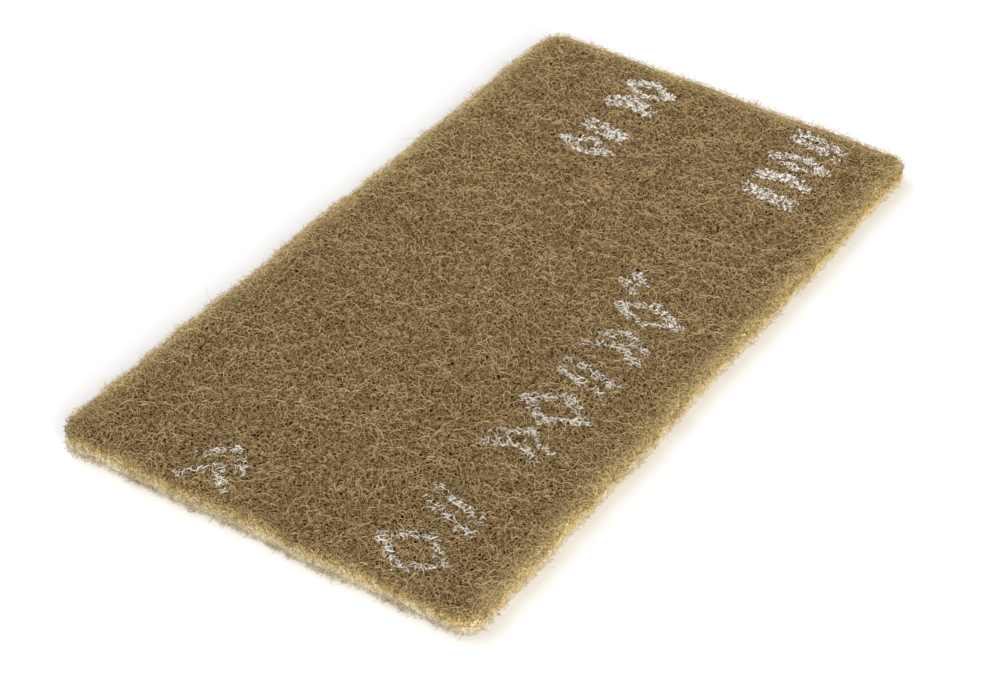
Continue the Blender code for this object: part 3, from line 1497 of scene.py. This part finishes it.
    def close(self, upper: np.ndarray, lower: np.ndarray) -> Piece:
        """Join an upper and a lower grid by a wall of rings.

        The wall's rings are spaced evenly between the two borders. Vertex numbers run
        through the upper grid, the lower grid and then the rings.

        Args:
            upper: The upper grid, rows by columns by three.
            lower: The lower grid, of the same shape.

        Returns:
            The closed slab.
        """
        rows, columns = upper.shape[:2]
        number = np.arange(rows * columns).reshape(rows, columns)
        border = np.concatenate(
            [number[:, 0], number[-1, 1:], number[-2::-1, -1], number[0, -2:0:-1]]
        )
        flat_upper, flat_lower = upper.reshape(-1, 3), lower.reshape(-1, 3)
        shares = np.linspace(1.0, 0.0, self.wall_rings + 2)[1:-1]
        high, low = flat_upper[border], flat_lower[border]
        rings = [high * share + low * (1 - share) for share in shares]
        places = np.concatenate([flat_upper, flat_lower, *rings])
        here, right = number[:-1, :-1], number[1:, :-1]
        across, ahead = number[1:, 1:], number[:-1, 1:]
        top = np.stack([here, right, across, ahead], axis=-1).reshape(-1, 4)
        base = top[:, ::-1] + rows * columns
        start = 2 * rows * columns
        levels = [border]
        levels += [start + k * len(border) + np.arange(len(border)) for k in range(len(rings))]
        levels += [border + rows * columns]
        walls = [
            np.stack([high, low, np.roll(low, -1), np.roll(high, -1)], axis=-1)
            for high, low in zip(levels[:-1], levels[1:])
        ]
        quads = np.concatenate([top, base, *walls])
        piece = solid_from_faces("web_core", self.form.relax(places), quads)
        mark_points(piece, GILD, self.gilding(*places.T))
        return piece

    def gilding(self, x: np.ndarray, y: np.ndarray, z: np.ndarray) -> np.ndarray:
        """Gild the sides up to near the top, and the faces as far in as the form's gold.

        Args:
            x: Places along the pad.
            y: Places across the pad.
            z: Heights.

        Returns:
            Shares of gold from 0 to 1.
        """
        inside = self.form.inside(x, y)
        reach = self.form.gold_reach(x, y)
        rim = 1.0 - smooth_step(inside, reach - 2.0 * MM, reach + 2.4 * MM)
        rim = np.maximum(rim, self.form.tinge(x, inside))
        under_top = 1.0 - smooth_step(z, 4.2 * MM, 6.2 * MM)
        return np.maximum(rim, under_top * (inside < 2.0 * MM))


@dataclass
class AbrasivePad:
    """The whole pad: its core, its lays of fibre, its print and its strays."""

    form: PadForm
    rng: np.random.Generator
    ink_reach: float = 0.7 * MM
    ink_take: float = 0.8
    ink_shade: float = 0.5

    def build(self) -> list[Piece]:
        """Build and dress every piece.

        Returns:
            The pieces, each riding on the pad's body.
        """
        core = CoreSlab(self.form, self.rng).build()
        self.dress(core, DeepWeb().material())
        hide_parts(PAD_NODE)
        coat = CoatedFibre().material()
        ink = SilverInk().material()
        matted = PrintLay(form=self.form, rng=self.rng)
        pieces = [core, self.bundle(matted.name, matted.strands(), ink)]
        for lay in [*self.broad_lays(), *self.stray_lays()]:
            strands = lay.strands()
            if isinstance(lay, FaceLay) and lay.takes_ink:
                inked = self.inked(strands)
                name = lay.name.replace("fibres", "print")
                pieces.append(self.bundle(name, strands.only(inked), ink))
                strands = strands.only(~self.inner(inked))
                x, y, _ = np.moveaxis(strands.points, -1, 0)
                strands.tone = strands.tone - self.ink_shade * Stencil().covers(x, y)
            pieces.append(self.bundle(lay.name, strands, coat))
        return pieces

    def broad_lays(self) -> list[FaceLay | WallLay]:
        """List the lays of fibre that lie on the pad.

        Returns:
            The upper face's from the top down, then the underside's and the sides'.
        """
        lay = partial(FaceLay, form=self.form, rng=self.rng)
        upper = partial(lay, face=Face.UPPER)
        calm = Crimp(260.0, 320.0, 140.0, rise=0.85, rise_wave=3.2 * MM)
        thin = (0.05 * MM, 0.07 * MM)
        # The upper lays' tones are lifted and the deep lay's lowered: painted light and shade by
        # depth.
        return [
            upper(
                name="surface_fibres", count=2470, depth=(0.05 * MM, 0.25 * MM), crimp=calm,
                thickness=(0.066 * MM, 0.09 * MM), tone_shift=0.12, takes_ink=True,
            ),
            upper(
                name="middle_fibres", count=2450, depth=(0.1 * MM, 0.35 * MM),
                thickness=thin, takes_ink=True,
            ),
            upper(
                name="deep_fibres", count=2180, depth=(0.15 * MM, 0.4 * MM),
                thickness=thin, tone_shift=-0.06,
            ),
            lay(name="underside_fibres", face=Face.LOWER, count=320, depth=(0.0, 0.3 * MM)),
            WallLay(form=self.form, rng=self.rng, name="side_fibres", count=1600),
        ]

    def stray_lays(self) -> list[StrayLay]:
        """List the lays of fibre that stand off the sides.

        Returns:
            Cut ends all over the sides, then the strays of the foot and of the rim.
        """
        stray = partial(StrayLay, form=self.form, rng=self.rng)
        top = self.form.thickness
        return [
            stray(
                name="cut_ends", count=6600, heights=(0.3 * MM, top - 0.2 * MM),
                tilt=(-0.7, 0.7), length=(0.6 * MM, 1.3 * MM), thickness=(0.05 * MM, 0.09 * MM),
                tone=(-0.4, 1.5), gilding=(0.5, 1.0),
            ),
            stray(
                name="low_strays", count=2900, heights=(0.15 * MM, 2.4 * MM),
                tilt=(-0.4, 0.3), length=(1.3 * MM, 3.2 * MM),
                thickness=(0.045 * MM, 0.075 * MM), tone=(0.2, 0.85), long_side=0.5,
            ),
            stray(
                name="rim_strays", count=4000, heights=(top - 2.2 * MM, top),
                tilt=(-0.1, 0.8), length=(0.7 * MM, 2.1 * MM), tone=(-0.15, 0.8),
            ),
            stray(
                name="far_fluff", count=1500, heights=(top - 1.6 * MM, top),
                tilt=(-0.2, 0.7), length=(0.7 * MM, 2.2 * MM), thickness=(0.03 * MM, 0.05 * MM),
                tone=(0.0, 0.9), gilding=(0.0, 0.6), span=(-0.15, 0.35),
            ),
            stray(
                name="loose_threads", count=70, heights=(1.0 * MM, top),
                tilt=(-0.2, 0.4), length=(3.0 * MM, 7.5 * MM),
                thickness=(0.04 * MM, 0.055 * MM), tone=(0.0, 0.6),
            ),
        ]

    def inked(self, strands: Strands) -> np.ndarray:
        """Pick the points that took ink: under the stencil, near the skin, on most fibres.

        Args:
            strands: The lay of fibres that was printed on.

        Returns:
            Whether each point is inked.
        """
        x, y, z = np.moveaxis(strands.points, -1, 0)
        under = Stencil().covers(x, y)
        near_skin = z > self.form.thickness - self.ink_reach
        takes = self.rng.uniform(size=(len(x), 1)) < self.ink_take
        return under & near_skin & takes

    def inner(self, inked: np.ndarray) -> np.ndarray:
        """Leave out the two ends of each inked run, where the bare fibre takes over.

        Args:
            inked: Whether each point is inked.

        Returns:
            Whether each point is inked and has inked neighbours.
        """
        inner = inked.copy()
        inner[:, 1:] &= inked[:, :-1]
        inner[:, :-1] &= inked[:, 1:]
        return inner

    def bundle(
        self, name: str, strands: Strands, material: bpy.types.Material
    ) -> Piece:
        """Build one bundle of tubes and dress it.

        Args:
            name: The piece's name.
            strands: The centre lines.
            material: The finish.

        Returns:
            The piece.
        """
        piece = TubeBundle(name, strands).build()
        self.dress(piece, material)
        return piece

    def dress(self, piece: Piece, material: bpy.types.Material) -> None:
        """Give a piece its material and its body, and log how many triangles it has.

        Args:
            piece: The piece.
            material: The finish.
        """
        piece.data.materials.append(material)
        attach(piece, BODY)
        triangles = sum(len(face.vertices) - 2 for face in piece.data.polygons)
        log.info("%s: %d triangles", piece.name, triangles)


def aimed(place: Vector, away: Vector) -> Matrix:
    """Return the place of a lamp or camera whose back points away."""
    return Matrix.Translation(place) @ away.to_track_quat("Z", "Y").to_matrix().to_4x4()


@dataclass(frozen=True)
class SoftLamp:
    """A soft square lamp that faces the pad: its place, side, power and linear colour."""

    name: str
    place: Triple
    side: float
    watts: float
    colour: Colour

    def hang(self) -> None:
        """Hang the lamp."""
        light = bpy.data.lights.new(self.name, "AREA")
        light.shape = "SQUARE"
        light.size = self.side
        light.energy = self.watts
        light.color = self.colour
        holder = bpy.data.objects.new(self.name, light)
        holder.matrix_world = aimed(Vector(self.place), Vector(self.place))
        bpy.context.scene.collection.objects.link(holder)


@dataclass(frozen=True)
class PhotoCamera:
    """The photographed view, in metres and degrees, as solved from the pad's four edges."""

    place: Triple = (-0.4883, -0.2627, 0.4040)
    target: Triple = (-0.0200, -0.0067, 0.0)
    roll: float = 4.7
    lens: float = 95.2
    sensor: float = 36.0
    clip: Span = (0.01, 50.0)

    def stand(self) -> None:
        """Place the camera: aimed, then rolled about its axis."""
        data = bpy.data.cameras.new("camera")
        data.lens = self.lens
        data.sensor_width = self.sensor
        data.clip_start, data.clip_end = self.clip
        holder = bpy.data.objects.new("camera", data)
        place = Vector(self.place)
        roll = Matrix.Rotation(math.radians(self.roll), 4, "Z")
        holder.matrix_world = aimed(place, place - Vector(self.target)) @ roll
        bpy.context.scene.collection.objects.link(holder)
        bpy.context.scene.camera = holder


@dataclass
class Studio:
    """The pale floor, the soft light and the camera."""

    floor_side: float = 1.7
    floor_colour: Colour = (0.87, 0.885, 0.92)
    floor_roughness: float = 0.9
    floor_glow: float = 0.1
    glow_colour: Colour = (1.0, 0.8, 0.4)
    sky_strength: float = 0.45
    key: SoftLamp = SoftLamp("key_light", (0.15, 1.43, 2.2), 1.9, 32.0, (0.96, 1.0, 1.07))
    fill: SoftLamp = SoftLamp("fill_light", (-1.88, -2.4, 1.44), 2.4, 106.0, (1.06, 1.0, 0.92))

    def build(self) -> None:
        """Set up the stage."""
        self.floor()
        self.sky()
        self.key.hang()
        self.fill.hang()
        PhotoCamera().stand()
        bpy.context.scene.view_settings.view_transform = "Standard"

    def floor(self) -> None:
        """Lay a matt floor that a camera sees as white, with warm shade under the pad."""
        half = self.floor_side / 2
        corners = ((-half, -half, 0.0), (half, -half, 0.0), (half, half, 0.0), (-half, half, 0.0))
        floor = solid_from_faces("studio_floor", np.array(corners), np.array([[0, 1, 2, 3]]))
        shades = Shades("studio_floor")
        glow = shades.sum_up("MULTIPLY", seen_rays(shades.tree), self.floor_glow)
        shades.feed((*self.glow_colour, 1.0), shades.shader.inputs["Emission Color"])
        shades.feed(glow, shades.shader.inputs["Emission Strength"])
        material = shades.finish((*self.floor_colour, 1.0), self.floor_roughness, 0.0)
        floor.data.materials.append(material)

    def sky(self) -> None:
        """Light the pad evenly from all round, and show white behind the floor."""
        world = bpy.data.worlds.new("studio")
        bpy.context.scene.world = world
        world.use_nodes = True
        tree = world.node_tree
        lit = tree.nodes["Background"]
        seen = tree.nodes.new("ShaderNodeBackground")
        for sky, strength in ((lit, self.sky_strength), (seen, 1.0)):
            sky.inputs["Color"].default_value = (1.0, 1.0, 1.0, 1.0)
            sky.inputs["Strength"].default_value = strength
        blend = tree.nodes.new("ShaderNodeMixShader")
        tree.links.new(seen_rays(tree), blend.inputs["Fac"])
        tree.links.new(lit.outputs["Background"], blend.inputs[1])
        tree.links.new(seen.outputs["Background"], blend.inputs[2])
        tree.links.new(blend.outputs["Shader"], tree.nodes["World Output"].inputs["Surface"])


def main() -> None:
    """Load the frame, build the pad and its studio, and note the sizes."""
    logging.basicConfig(level=logging.INFO, format="%(name)s: %(message)s")
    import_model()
    form = PadForm.from_frame()
    log.info("form: %.1f x %.1f x %.1f mm", form.length / MM, form.width / MM, form.thickness / MM)
    AbrasivePad(form, np.random.default_rng(SEED)).build()
    Studio().build()


if __name__ == "__main__":
    main()
